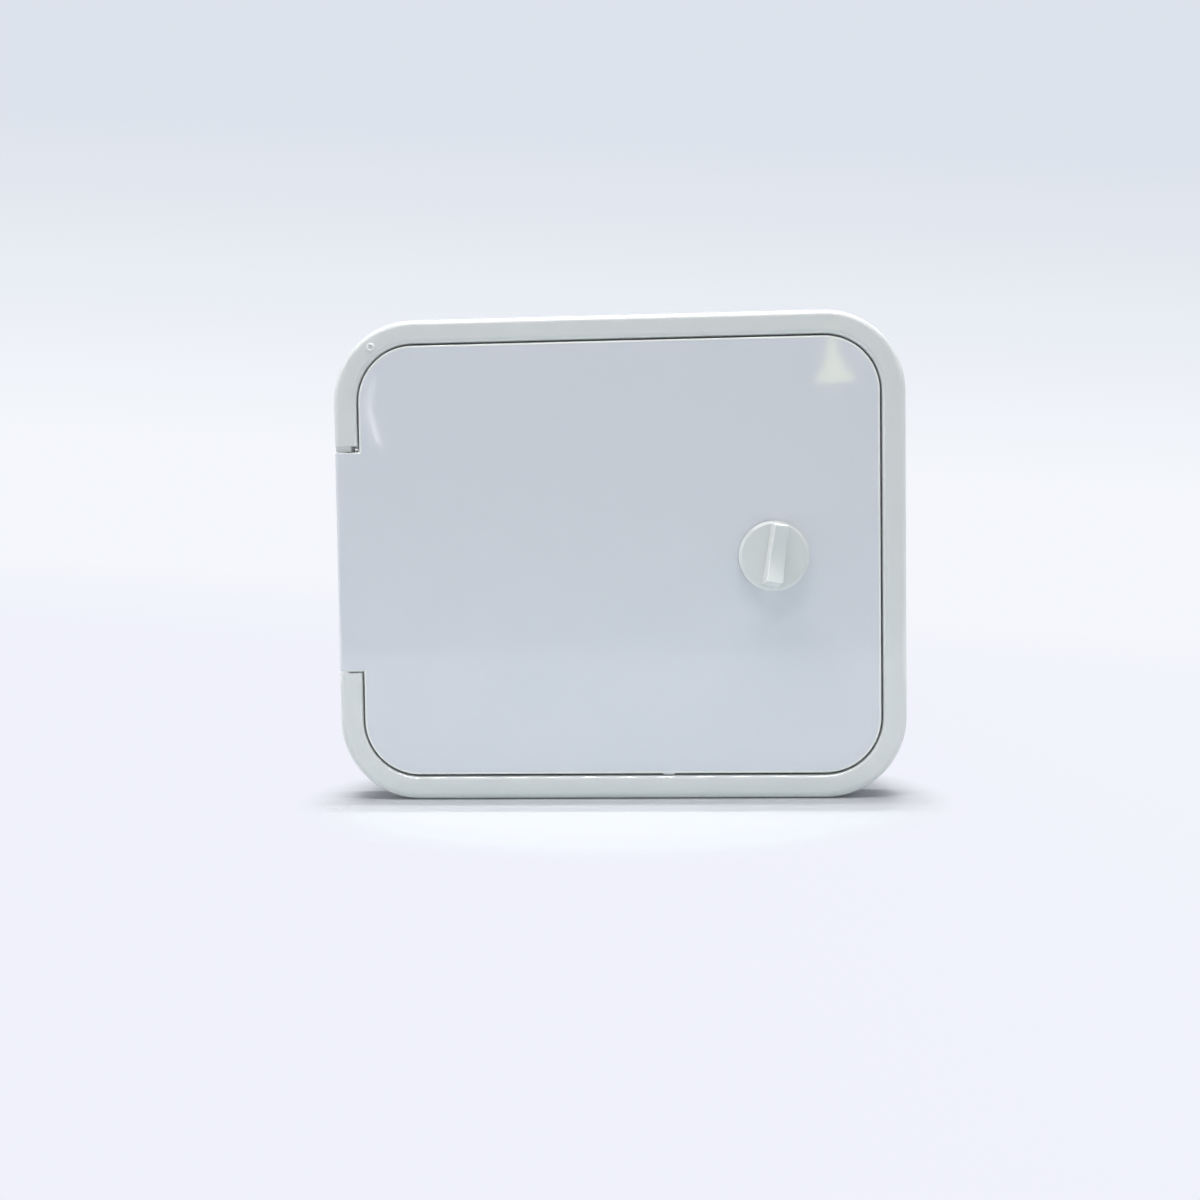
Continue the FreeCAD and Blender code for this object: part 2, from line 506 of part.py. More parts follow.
def make_thumb_turn():
    """The thumb turn: a bevelled disc with a grip bar in front and a stem behind."""
    body = new_body("thumb_turn")
    sketch = new_sketch(body, "turned_outline", "XY_Plane")
    back = f"- {DOOR_FRONT} - knob_float"
    front = f"{back} - knob_thick"
    polyline(sketch, (
        ("0", front),
        ("knob_diameter / 2 - knob_bevel", front),
        ("knob_diameter / 2", f"{front} + knob_bevel"),
        ("knob_diameter / 2", back),
        ("stem_diameter / 2", back),
        ("stem_diameter / 2", f"- {WASHER_FRONT}"),
        ("0", f"- {WASHER_FRONT}"),
    ))
    spin(body, "disc_and_stem", sketch)

    sketch = new_sketch(body, "square_outline", offset=WASHER_FRONT)
    half = "stem_square / 2"
    rectangle(sketch, "square", f"- {half}", half, f"- {half}", half)
    feature("Pad", body, "square_end", sketch, f"{WASHER_FRONT} + {CAM_BACK}", backwards=True)

    sketch = new_sketch(body, "grip_outline", "YZ_Plane", "- grip_width / 2")
    crest = f"( {front} - grip_height )"
    root = f"( {front} + knob_thick / 2 )"
    points = (
        (root, "- grip_bottom - grip_flare"),
        (crest, "- grip_bottom"),
        (crest, "grip_top"),
        (root, "grip_top + grip_flare"),
    )
    ends = [Vector(value(x), value(y), 0) for x, y in points]
    lower = sketch.addGeometry(Part.LineSegment(ends[0], ends[1]))
    middle = (ends[1] + ends[2]) * 0.5 + Vector(value("grip_dip"), 0, 0)
    hollow = sketch.addGeometry(Part.Arc(ends[1], middle, ends[2]))
    upper = sketch.addGeometry(Part.LineSegment(ends[2], ends[3]))
    base = sketch.addGeometry(Part.LineSegment(ends[3], ends[0]))
    flipped = (sketch.getPoint(hollow, 1) - ends[1]).Length > (sketch.getPoint(hollow, 2) - ends[1]).Length
    first, last = (2, 1) if flipped else (1, 2)
    for one, one_end, two, two_end in ((lower, 2, hollow, first), (hollow, last, upper, 1),
                                       (upper, 2, base, 1), (base, 2, lower, 1)):
        sketch.addConstraint(Sketcher.Constraint("Coincident", one, one_end, two, two_end))
    for tag, line, end, (x, y) in (("a", lower, 1, points[0]), ("b", lower, 2, points[1]),
                                   ("c", upper, 1, points[2]), ("d", upper, 2, points[3])):
        hold(sketch, f"x_{tag}", x, "DistanceX", -1, 1, line, end)
        hold(sketch, f"y_{tag}", y, "DistanceY", -1, 1, line, end)
    half_crest = "( ( grip_top + grip_bottom ) / 2 )"
    hold(sketch, "hollow", f"( {half_crest} * {half_crest} + grip_dip * grip_dip ) / ( 2 * grip_dip )",
         "Radius", hollow)
    feature("Pad", body, "grip", sketch, "grip_width")

    sketch = new_sketch(body, "grip_taper_outline", offset=f"- ( {front} )")
    for side, sign in (("right", ""), ("left", "-")):
        polyline(sketch, (
            (f"{sign} grip_width / 2", "- grip_bottom - grip_flare"),
            (f"{sign} ( grip_width - grip_taper ) / 2", "grip_top + grip_flare"),
            (f"{sign} grip_width", "grip_top + grip_flare"),
            (f"{sign} grip_width", "- grip_bottom - grip_flare"),
        ), side)
    taper = feature("Pocket", body, "grip_sides", sketch, "2 * grip_height", backwards=True)

    rim = -value(front)

    def crest_edge(edge):
        box = edge.BoundBox
        proud = -box.YMax > rim + value("grip_height / 2")
        return proud and box.ZLength > value("grip_top")

    shaped_edges("Chamfer", body, "grip_edges", taper, "grip_bevel", crest_edge)

    sketch = new_sketch(body, "screw_hole_outline", offset=f"- {CAM_BACK}")
    disc(sketch, "hole", "0", "0", "cam_screw_shank + 2 * cam_screw_clearance")
    feature("Pocket", body, "screw_hole", sketch, "cam_screw_length + cam_screw_clearance", backwards=True)
    turn_with_knob(body)
    return body


def make_washer():
    """The washer between the boss and the cam."""
    body = new_body("cam_washer")
    sketch = new_sketch(body, "washer_outline", offset=WASHER_FRONT)
    disc(sketch, "rim", "0", "0", "washer_diameter")
    disc(sketch, "bore", "0", "0", "washer_bore")
    feature("Pad", body, "washer", sketch, "washer_thick", backwards=True)
    turn_with_knob(body)
    return body


def make_cam():
    """The latch cam: a flat arm on the stem's square, pointing the same way as the grip."""
    body = new_body("latch_cam")
    sketch = new_sketch(body, "cam_outline", offset=f"- {WASHER_BACK}")
    r = value("cam_width / 2")
    tip = value(f"{CAM_LENGTH} - cam_width / 2")
    low = sketch.addGeometry(Part.ArcOfCircle(Part.Circle(Vector(0, 0, 0), Vector(0, 0, 1), r),
                                              math.pi, 2 * math.pi))
    right = sketch.addGeometry(Part.LineSegment(Vector(r, 0, 0), Vector(r, tip, 0)))
    high = sketch.addGeometry(Part.ArcOfCircle(Part.Circle(Vector(0, tip, 0), Vector(0, 0, 1), r),
                                               0, math.pi))
    left = sketch.addGeometry(Part.LineSegment(Vector(-r, tip, 0), Vector(-r, 0, 0)))
    for one, two in ((low, right), (right, high), (high, left), (left, low)):
        sketch.addConstraint(Sketcher.Constraint("Tangent", one, 2, two, 1))
    sketch.addConstraint(Sketcher.Constraint("Coincident", low, 3, -1, 1))
    sketch.addConstraint(Sketcher.Constraint("Vertical", right))
    hold(sketch, "hub", "cam_width / 2", "Radius", low)
    hold(sketch, "tip", f"{CAM_LENGTH} - cam_width / 2", "DistanceY", -1, 1, high, 3)
    half = "( stem_square / 2 + square_clearance )"
    rectangle(sketch, "square", f"- {half}", half, f"- {half}", half)
    feature("Pad", body, "arm", sketch, "cam_thick", backwards=True)
    turn_with_knob(body)
    return body


def make_cam_screw():
    """The cheese head screw that holds the cam on the stem."""
    body = new_body("cam_screw")
    sketch = new_sketch(body, "screw_outline", "XY_Plane")
    polyline(sketch, (
        ("0", f"{CAM_BACK} - cam_screw_length"),
        ("cam_screw_shank / 2", f"{CAM_BACK} - cam_screw_length"),
        ("cam_screw_shank / 2", CAM_BACK),
        ("cam_screw_head / 2", CAM_BACK),
        ("cam_screw_head / 2", f"{CAM_BACK} + cam_screw_head_thick"),
        ("0", f"{CAM_BACK} + cam_screw_head_thick"),
    ))
    spin(body, "screw", sketch)
    turn_with_knob(body)
    return body


pieces = [
    make_frame(),
    make_seal(),
    make_door(),
    make_pin("upper", "tab_height / 2 - pin_bite"),
    make_pin("lower", f"- {NOTCH_BOTTOM} - hinge_block - pin_tail"),
    make_thumb_turn(),
    make_washer(),
    make_cam(),
    make_cam_screw(),
]
doc.recompute()

for item in doc.Objects:
    if "Invalid" in item.State or "Error" in item.State:
        raise RuntimeError(f"{item.Label} failed: {item.State}")
for piece in pieces:
    if piece.Shape.isNull() or not piece.Shape.isValid():
        raise RuntimeError(f"{piece.Label} has no valid shape")

os.makedirs("parts", exist_ok=True)
for piece in pieces:
    piece.Shape.exportStep(f"parts/{piece.Label}.step")
    print(piece.Label, len(piece.Shape.Solids), "solid,", round(piece.Shape.Volume), "mm3")
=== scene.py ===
# %% [markdown]
# A caravan service hatch: a white moulded surround, a flush door hung on its left side and a thumb turn.
# The solid model comes first. It already holds every piece that carries, fits or moves, at its real size,
# so this lesson only dresses those pieces, and adds the few small forms that the solids leave plain.

import math

import bmesh
import bpy
from mathutils import Matrix, Vector


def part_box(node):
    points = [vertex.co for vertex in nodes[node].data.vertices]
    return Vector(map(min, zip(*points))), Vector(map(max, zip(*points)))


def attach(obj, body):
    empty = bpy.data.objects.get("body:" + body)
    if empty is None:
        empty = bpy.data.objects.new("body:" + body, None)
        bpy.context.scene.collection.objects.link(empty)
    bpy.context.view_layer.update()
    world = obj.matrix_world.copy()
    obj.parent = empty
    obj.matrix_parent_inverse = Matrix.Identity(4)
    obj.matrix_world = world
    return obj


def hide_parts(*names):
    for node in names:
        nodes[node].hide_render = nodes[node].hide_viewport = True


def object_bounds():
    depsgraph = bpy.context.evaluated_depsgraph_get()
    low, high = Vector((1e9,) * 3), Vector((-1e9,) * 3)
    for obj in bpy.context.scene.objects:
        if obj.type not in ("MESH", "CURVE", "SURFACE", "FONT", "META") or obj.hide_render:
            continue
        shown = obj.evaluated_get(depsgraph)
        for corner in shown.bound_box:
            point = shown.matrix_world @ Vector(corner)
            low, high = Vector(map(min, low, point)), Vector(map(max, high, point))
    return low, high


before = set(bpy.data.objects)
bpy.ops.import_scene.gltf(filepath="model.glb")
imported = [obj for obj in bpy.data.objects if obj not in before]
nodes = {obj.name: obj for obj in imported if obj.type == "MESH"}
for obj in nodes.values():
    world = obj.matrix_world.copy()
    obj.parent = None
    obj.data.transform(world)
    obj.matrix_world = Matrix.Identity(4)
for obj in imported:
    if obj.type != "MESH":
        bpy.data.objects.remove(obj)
solid_low, solid_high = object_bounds()
MM = 0.001
print("solid model, mm:", [round(side / MM, 1) for side in solid_high - solid_low])

# %% [markdown]
# Every finish below is a small tree of shader nodes. Two helpers keep those trees short: one turns a colour
# that was read as a hex value into the linear numbers that a shader wants, and one adds a node.

# %% Helpers for finishes


def linear(hex_colour):
    """An sRGB hex colour as linear red, green, blue and alpha."""
    shares = [int(hex_colour[i:i + 2], 16) / 255 for i in (1, 3, 5)]
    return [s / 12.92 if s <= 0.04045 else ((s + 0.055) / 1.055) ** 2.4 for s in shares] + [1.0]


def add(tree, kind, sockets=(), **settings):
    """Add one node. Each socket is set to a value, or linked when the value is another node's output."""
    item = tree.nodes.new(kind)
    for name, setting in settings.items():
        setattr(item, name, setting)
    for name, source in dict(sockets).items():
        if isinstance(source, bpy.types.NodeSocket):
            tree.links.new(source, item.inputs[name])
        else:
            item.inputs[name].default_value = source
    return item


def new_finish(name):
    """An empty material and its tree of nodes."""
    material = bpy.data.materials.new(name)
    material.use_nodes = True
    material.node_tree.nodes.clear()
    return material, material.node_tree


# %% [markdown]
# The surround, the door and the thumb turn are injection moulded ABS, white and glossy. What gives such
# plastic away is its gloss: mirror-like, but never quite flat, because the skin shrinks a little over thick
# places as it cools. So the finish has a slow swell some 50 mm wide and a very fine skin about 1 mm wide,
# both as bump, and a roughness that drifts slightly. The three mouldings differ a shade in colour. In the
# photograph a thin white line runs along the edge of the door, and a small raised mark on the surround is
# white too. Much of that comes from the sharpening of the picture. A paler shade stands in for it here.

# %% Moulded ABS
SWELL = 50 * MM
SWELL_RISE = 0.12 * MM
SKIN = 1.1 * MM
SKIN_RISE = 0.002 * MM
CLOUD = 24 * MM


def moulded_abs(name, pale, deep, roughness):
    """Glossy injection moulded ABS whose shade drifts between two near colours."""
    material, tree = new_finish(name)
    place = add(tree, "ShaderNodeTexCoord").outputs["Object"]
    swell = add(tree, "ShaderNodeTexNoise", {"Vector": place, "Scale": 1 / SWELL, "Detail": 1.0})
    skin = add(tree, "ShaderNodeTexNoise", {"Vector": place, "Scale": 1 / SKIN, "Detail": 2.0})
    cloud = add(tree, "ShaderNodeTexNoise", {"Vector": place, "Scale": 1 / CLOUD, "Detail": 4.0})
    shade = add(tree, "ShaderNodeMix", {0: cloud.outputs["Fac"], 6: linear(deep), 7: linear(pale)},
                data_type="RGBA")
    gloss = add(tree, "ShaderNodeMapRange", {"Value": cloud.outputs["Fac"], "From Min": 0.3, "From Max": 0.7,
                                             "To Min": 0.8 * roughness, "To Max": 1.2 * roughness})
    wave = add(tree, "ShaderNodeBump", {"Height": swell.outputs["Fac"], "Distance": SWELL_RISE,
                                        "Strength": 1.0})
    fine = add(tree, "ShaderNodeBump", {"Height": skin.outputs["Fac"], "Distance": SKIN_RISE, "Strength": 1.0,
                                        "Normal": wave.outputs["Normal"]})
    surface = add(tree, "ShaderNodeBsdfPrincipled", {"Base Color": shade.outputs[2],
                                                     "Roughness": gloss.outputs["Result"],
                                                     "IOR": 1.53, "Normal": fine.outputs["Normal"]})
    add(tree, "ShaderNodeOutputMaterial", {"Surface": surface.outputs["BSDF"]})
    return material


surround_abs = moulded_abs("surround_white_abs", "#EAEBE9", "#E6E7E6", 0.05)
door_abs = moulded_abs("door_white_abs", "#E7E8EE", "#E3E5EB", 0.05)
# painted highlight: a paler shade of the same ABS stands in for the thin bright line along the door's edge and
# on the raised mark
painted_highlight_abs = moulded_abs("painted_highlight_white_abs", "#FBFBF8", "#F9F9F5", 0.10)
turn_abs = moulded_abs("thumb_turn_white_abs", "#E8EAE8", "#E4E6E4", 0.14)
print("moulded finishes:", surround_abs.name, door_abs.name, painted_highlight_abs.name, turn_abs.name)

# %% [markdown]
# The hidden metal is zinc plated steel. Plating is bright but soft: a fine drawn grain from the wire or the
# strip under it, and a cloudy bloom that shifts the roughness from place to place.

# %% Zinc plated steel
GRAIN = 0.25 * MM
GRAIN_RISE = 0.01 * MM
GRAIN_STRETCH = 0.06
BLOOM = 3 * MM


def zinc_plate(name, along):
    """Zinc plated steel with its drawn grain along one axis."""
    material, tree = new_finish(name)
    place = add(tree, "ShaderNodeTexCoord").outputs["Object"]
    stretch = [GRAIN_STRETCH if axis == along else 1.0 for axis in "XYZ"]
    drawn = add(tree, "ShaderNodeMapping", {"Vector": place, "Scale": stretch})
    grain = add(tree, "ShaderNodeTexNoise", {"Vector": drawn.outputs["Vector"], "Scale": 1 / GRAIN,
                                             "Detail": 3.0})
    bloom = add(tree, "ShaderNodeTexNoise", {"Vector": place, "Scale": 1 / BLOOM, "Detail": 3.0})
    tone = add(tree, "ShaderNodeMix", {0: bloom.outputs["Fac"], 6: linear("#A9ADB0"), 7: linear("#C9CCCB")},
               data_type="RGBA")
    rough = add(tree, "ShaderNodeMapRange", {"Value": bloom.outputs["Fac"], "From Min": 0.3, "From Max": 0.7,
                                             "To Min": 0.24, "To Max": 0.42})
    lines = add(tree, "ShaderNodeBump", {"Height": grain.outputs["Fac"], "Distance": GRAIN_RISE,
                                         "Strength": 0.6})
    surface = add(tree, "ShaderNodeBsdfPrincipled", {"Base Color": tone.outputs[2], "Metallic": 1.0,
                                                     "Roughness": rough.outputs["Result"],
                                                     "Normal": lines.outputs["Normal"]})
    add(tree, "ShaderNodeOutputMaterial", {"Surface": surface.outputs["BSDF"]})
    return material


pin_zinc = zinc_plate("pin_zinc_plate", "Z")
cam_zinc = zinc_plate("cam_zinc_plate", "X")
print("metal finishes:", pin_zinc.name, cam_zinc.name)

# %% [markdown]
# The door closes on a strip of foamed EPDM rubber. Its skin is black and matt, with the open pores of the foam
# showing as small pits, so a cell texture drives the bump, and a broad noise varies the tone a little.

# %% Foamed rubber
PORE = 0.5 * MM
PIT = 0.12 * MM
DUST = 6 * MM


def foamed_rubber(name):
    """Black closed cell EPDM foam with a matt, pitted skin."""
    material, tree = new_finish(name)
    place = add(tree, "ShaderNodeTexCoord").outputs["Object"]
    pores = add(tree, "ShaderNodeTexVoronoi", {"Vector": place, "Scale": 1 / PORE})
    dust = add(tree, "ShaderNodeTexNoise", {"Vector": place, "Scale": 1 / DUST, "Detail": 5.0})
    tone = add(tree, "ShaderNodeMix", {0: dust.outputs["Fac"], 6: linear("#1E1F20"), 7: linear("#2C2D2E")},
               data_type="RGBA")
    pits = add(tree, "ShaderNodeBump", {"Height": pores.outputs["Distance"], "Distance": PIT, "Strength": 0.8})
    surface = add(tree, "ShaderNodeBsdfPrincipled", {"Base Color": tone.outputs[2], "Roughness": 0.82,
                                                     "IOR": 1.5, "Normal": pits.outputs["Normal"]})
    add(tree, "ShaderNodeOutputMaterial", {"Surface": surface.outputs["BSDF"]})
    return material


seal_rubber = foamed_rubber("foamed_rubber")
print("soft finish:", seal_rubber.name)

# %% [markdown]
# Most pieces keep the shape of their solid and only take a finish. A material slot belongs to the mesh, so
# the finish replaces whatever the model came with.

# %% Dress the solids
FINISHES = {
    "frame": surround_abs,
    "door_panel": door_abs,
    "thumb_turn": turn_abs,
    "door_seal": seal_rubber,
    "hinge_pin_upper": pin_zinc,
    "hinge_pin_lower": pin_zinc,
    "cam_washer": cam_zinc,
    "latch_cam": cam_zinc,
    "cam_screw": cam_zinc,
}
for name, finish in FINISHES.items():
    mesh = nodes[name].data
    mesh.materials.clear()
    mesh.materials.append(finish)
print("dressed:", len(FINISHES), "of", len(nodes), "pieces")

# %% [markdown]
# Some small shapes are made here from scratch. A turned shape is an outline spun about an axis, which is how
# a lathe works. Two shapes become one by a Boolean, as if they had been moulded together. Rounded edges then
# get smooth shading, and only the crisp edges stay sharp.

# %% Helpers for shapes


def turned(outline, steps=96, loop=False):
    """Spin an outline of (radius, y) points in millimetres about the Y axis."""
    shape = bmesh.new()
    rings = []
    for radius, y in outline:
        turns = [2 * math.pi * step / steps for step in range(steps if radius > 0 else 1)]
        rings.append([shape.verts.new(Vector((radius * math.cos(turn), y, radius * math.sin(turn))) * MM)
                      for turn in turns])
    for one, two in zip(rings, rings[1:] + (rings[:1] if loop else [])):
        for step in range(steps):
            after = (step + 1) % steps
            corners = [one[step % len(one)], one[after % len(one)], two[after % len(two)], two[step % len(two)]]
            shape.faces.new(list(dict.fromkeys(corners)))
    bmesh.ops.recalc_face_normals(shape, faces=shape.faces)
    return shape


def block(low, high):
    """A box between two corners in millimetres."""
    shape = bmesh.new()
    middle = (Vector(low) + Vector(high)) / 2 * MM
    span = (Vector(high) - Vector(low)) * MM
    bmesh.ops.create_cube(shape, size=1.0, matrix=Matrix.Translation(middle) @ Matrix.Diagonal((*span, 1.0)))
    return shape


def new_object(name, shape=None):
    """An object of a bmesh, at the origin, so that its mesh holds its place."""
    mesh = bpy.data.meshes.new(name)
    if shape:
        shape.to_mesh(mesh)
        shape.free()
    item = bpy.data.objects.new(name, mesh)
    bpy.context.scene.collection.objects.link(item)
    return item


def work_in(item):
    """Replace an object's mesh by what its modifiers make of it, and take the modifiers off."""
    made = item.evaluated_get(bpy.context.evaluated_depsgraph_get())
    plain = item.data
    item.data = bpy.data.meshes.new_from_object(made)
    item.modifiers.clear()
    bpy.data.meshes.remove(plain)


def combine(item, shape, operation):
    """Join a bmesh to an object, or cut it out."""
    tool = new_object("tool", shape)
    step = item.modifiers.new("combine", "BOOLEAN")
    step.operation = operation
    step.solver = "EXACT"
    step.object = tool
    work_in(item)
    bpy.data.objects.remove(tool)


def fit_piece(item, finish, body, crisp=32):
    """Shade an object, give it its finish, and let it ride on a body of the model."""
    item.data.shade_smooth()
    item.data.set_sharp_from_angle(angle=math.radians(crisp))
    even = item.modifiers.new("even", "WEIGHTED_NORMAL")
    even.keep_sharp = True
    work_in(item)
    item.data.materials.clear()
    item.data.materials.append(finish)
    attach(item, body)
    print(item.name, "on", body + ",", len(item.data.polygons), "faces")


# %% [markdown]
# The thumb turn is the one piece that a hand touches, so its edges matter. It is one moulding: a disc with a
# bevelled rim, a grip bar whose crest is hollowed for the thumb, a round stem and a square end for the cam. The
# bar narrows towards its upper end. Its sides lean in a little, so that it leaves the mould.

# %% Thumb turn
LATCH_X = 58.75
TILT = math.radians(8)
DISC_RADIUS = 13.25
DISC_BACK = -14.8
DISC_FRONT = -17.4
RIM_BEVEL = 1.15
STEM_RADIUS = 4.0
STEM_END = -0.5
SQUARE_HALF = 3.0
SQUARE_JOIN = 0.1
SQUARE_END = 3.0
SCREW_HOLE = 1.55
SCREW_TIP = -7.0
GRIP_CREST = -27.8
GRIP_ROOT = -16.1
GRIP_LOW = -9.8
GRIP_HIGH = 11.0
GRIP_FLARE = 1.6
GRIP_DIP = 2.1
GRIP_HALF_LOW = 2.95
GRIP_HALF_HIGH = 2.4
GRIP_LEAN = 0.45
GRIP_EDGE = 0.3
STATIONS = 18


def disc_outline():
    """Half of the disc and the stem, from the front of the axis to the end of the stem."""
    return [(0, DISC_FRONT), (DISC_RADIUS - RIM_BEVEL, DISC_FRONT), (DISC_RADIUS, DISC_FRONT + RIM_BEVEL),
            (DISC_RADIUS, DISC_BACK), (STEM_RADIUS, DISC_BACK), (STEM_RADIUS, STEM_END), (0, STEM_END)]


def grip_bar():
    """The bar: a strip of sections from its lower to its upper end, with its outer edges rounded."""
    shape = bmesh.new()
    sections = []
    for step in range(STATIONS + 1):
        share = step / STATIONS
        half = GRIP_HALF_LOW + (GRIP_HALF_HIGH - GRIP_HALF_LOW) * share
        crest = GRIP_CREST + GRIP_DIP * (1 - (2 * share - 1) ** 2)
        top = GRIP_LOW + (GRIP_HIGH - GRIP_LOW) * share
        foot = top + GRIP_FLARE * (2 * share - 1)
        corners = ((-half, crest, top), (half, crest, top), (half + GRIP_LEAN, GRIP_ROOT, foot),
                   (-half - GRIP_LEAN, GRIP_ROOT, foot))
        sections.append([shape.verts.new(Vector(corner) * MM) for corner in corners])
    for one, two in zip(sections, sections[1:]):
        for side in range(4):
            after = (side + 1) % 4
            shape.faces.new((one[side], one[after], two[after], two[side]))
    shape.faces.new(sections[0])
    shape.faces.new(sections[-1])
    bmesh.ops.recalc_face_normals(shape, faces=shape.faces)
    outer = [edge for edge in shape.edges if edge.calc_face_angle() > math.radians(40)
             and min(vert.co.y for vert in edge.verts) < (GRIP_ROOT - 1) * MM]
    bmesh.ops.bevel(shape, geom=outer, offset=GRIP_EDGE * MM, segments=5, profile=0.5, affect="EDGES",
                    clamp_overlap=True)
    return shape


thumb_turn = new_object("thumb_turn_moulding", turned(disc_outline()))
combine(thumb_turn, grip_bar(), "UNION")
square = block((-SQUARE_HALF, STEM_END - SQUARE_JOIN, -SQUARE_HALF), (SQUARE_HALF, SQUARE_END, SQUARE_HALF))
combine(thumb_turn, square, "UNION")
hole = [(0, SCREW_TIP), (SCREW_HOLE, SCREW_TIP), (SCREW_HOLE, SQUARE_END + 1), (0, SQUARE_END + 1)]
combine(thumb_turn, turned(hole, 32), "DIFFERENCE")
thumb_turn.data.transform(Matrix.Translation((LATCH_X * MM, 0, 0)) @ Matrix.Rotation(TILT, 4, "Y"))
fit_piece(thumb_turn, turn_abs, "latch")
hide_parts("thumb_turn")

# %% [markdown]
# The screw that holds the cam shows only from behind, with the door open. A cheese head screw has a slightly
# domed top and a cross recess for the driver, which the plain solid lacks: two thin blocks cut it out.

# %% Cam screw
HEAD_BACK = 5.4
shank = [(0, SCREW_TIP), (1.2, SCREW_TIP), (1.5, -6.6), (1.5, SQUARE_END)]
head = [(4.35, SQUARE_END), (4.5, 3.15), (4.5, 4.9), (4.25, 5.2), (3.4, HEAD_BACK), (0, HEAD_BACK)]
screw = new_object("cam_screw_turned", turned(shank + head, 64))
for turn in (45, 135):
    slot_cut = block((-2.4, HEAD_BACK - 1.3, -0.45), (2.4, HEAD_BACK + 1, 0.45))
    bmesh.ops.rotate(slot_cut, verts=slot_cut.verts, matrix=Matrix.Rotation(math.radians(turn), 3, "Y"))
    combine(screw, slot_cut, "DIFFERENCE")
screw.data.transform(Matrix.Translation((LATCH_X * MM, 0, 0)) @ Matrix.Rotation(TILT, 4, "Y"))
fit_piece(screw, cam_zinc, "latch")
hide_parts("cam_screw")

# %% [markdown]
# Two small marks show in the photograph. One is a bump on the door's lower edge. It is taken as the stub of the
# gate, where the plastic was fed in and broken off. The other is a round mark in the upper left of the surround.
# It is only a few pixels wide there, and is made as a plain raised ring.

# %% Moulding marks
DOOR_LOWER = -82.1
GATE_X = 18.5
GATE_HALF = 2.2
GATE_DROP = 0.85
gate = block((GATE_X - GATE_HALF, -14.2, DOOR_LOWER - GATE_DROP),
             (GATE_X + GATE_HALF, -12.5, DOOR_LOWER + 0.3))
bmesh.ops.bevel(gate, geom=gate.edges, offset=0.2 * MM, segments=2, profile=0.5, affect="EDGES")
fit_piece(new_object("gate_stub", gate), door_abs, "door")

MARK_AT = Vector((-93.4, -15.0, 82.0)) * MM
MARK_RADIUS = 1.25
MARK_WIRE = 0.38
circle = [2 * math.pi * step / 10 for step in range(10)]
mark = turned([(MARK_RADIUS + MARK_WIRE * math.cos(a), MARK_WIRE * math.sin(a)) for a in circle], 32, loop=True)
bmesh.ops.translate(mark, verts=mark.verts, vec=MARK_AT)
# The ring takes the paler ABS: a painted highlight.
fit_piece(new_object("mould_mark", mark), painted_highlight_abs, "surround", crisp=60)

# %% [markdown]
# What repeats, or follows a path, is work for Geometry Nodes: a tree of nodes that makes the mesh from a few
# named inputs. This helper builds such a tree round a recipe, sets its inputs, and keeps the plain mesh, so
# that nothing is left to be worked out again when the model is used elsewhere.

# %% Helpers for Geometry Nodes


def node_shape(name, build, **inputs):
    """Run a tree of geometry nodes on an empty mesh and keep the plain mesh that it makes."""
    tree = bpy.data.node_groups.new(name, "GeometryNodeTree")
    tree.interface.new_socket("Geometry", in_out="OUTPUT", socket_type="NodeSocketGeometry")
    kinds = {float: "NodeSocketFloat", int: "NodeSocketInt", bpy.types.Material: "NodeSocketMaterial"}
    sockets = {}
    for label, given in inputs.items():
        sockets[label] = tree.interface.new_socket(label, in_out="INPUT", socket_type=kinds[type(given)])
    given_in = add(tree, "NodeGroupInput").outputs
    shape = build(tree, given_in)
    real = add(tree, "GeometryNodeRealizeInstances", {"Geometry": shape})
    dressed = add(tree, "GeometryNodeSetMaterial", {"Geometry": real.outputs[0],
                                                    "Material": given_in["finish"]})
    add(tree, "NodeGroupOutput", {"Geometry": dressed.outputs[0]})
    item = new_object(name)
    step = item.modifiers.new(name, "NODES")
    step.node_group = tree
    for label, given in inputs.items():
        step[sockets[label].identifier] = given
    work_in(item)
    return item


# %% [markdown]
# The door seal is a strip with a flat back, glued round the ledge, and a domed front for the skirt of the door.
# A rounded rectangle is its path, half an ellipse is its section, and one node sweeps the one along the other.
# The sizes come from the plain solid that the strip replaces.

# %% Door seal
def seal_strip(tree, given):
    """Sweep half an ellipse along a rounded rectangle, flat side to the wall."""
    path = add(tree, "GeometryNodeCurvePrimitiveQuadrilateral", {"Width": given["width"],
                                                                 "Height": given["height"]})
    path = add(tree, "GeometryNodeFilletCurve", {"Curve": path.outputs[0], "Radius": given["corner"],
                                                 "Count": 14}, mode="POLY")
    path = add(tree, "GeometryNodeSetCurveNormal", {"Curve": path.outputs[0]}, mode="Z_UP")
    ring = add(tree, "GeometryNodeCurvePrimitiveCircle", {"Resolution": 28, "Radius": 1.0})
    spot = add(tree, "ShaderNodeSeparateXYZ", {"Vector": add(tree, "GeometryNodeInputPosition").outputs[0]})
    half = add(tree, "ShaderNodeMath", {0: given["strip"], 1: 0.5}, operation="MULTIPLY")
    across = add(tree, "ShaderNodeMath", {0: spot.outputs["X"], 1: half.outputs[0]}, operation="MULTIPLY")
    dome = add(tree, "ShaderNodeMath", {0: spot.outputs["Y"], 1: 0.0}, operation="MINIMUM")
    up = add(tree, "ShaderNodeMath", {0: dome.outputs[0], 1: given["rise"]}, operation="MULTIPLY")
    spread = add(tree, "ShaderNodeCombineXYZ", {"X": across.outputs[0], "Y": up.outputs[0]})
    section = add(tree, "GeometryNodeSetPosition", {"Geometry": ring.outputs[0], "Position": spread.outputs[0]})
    strip = add(tree, "GeometryNodeCurveToMesh", {"Curve": path.outputs[0],
                                                  "Profile Curve": section.outputs[0]})
    upright = add(tree, "GeometryNodeTransform", {"Geometry": strip.outputs[0],
                                                  "Rotation": (math.pi / 2, 0, 0)})
    return upright.outputs[0]


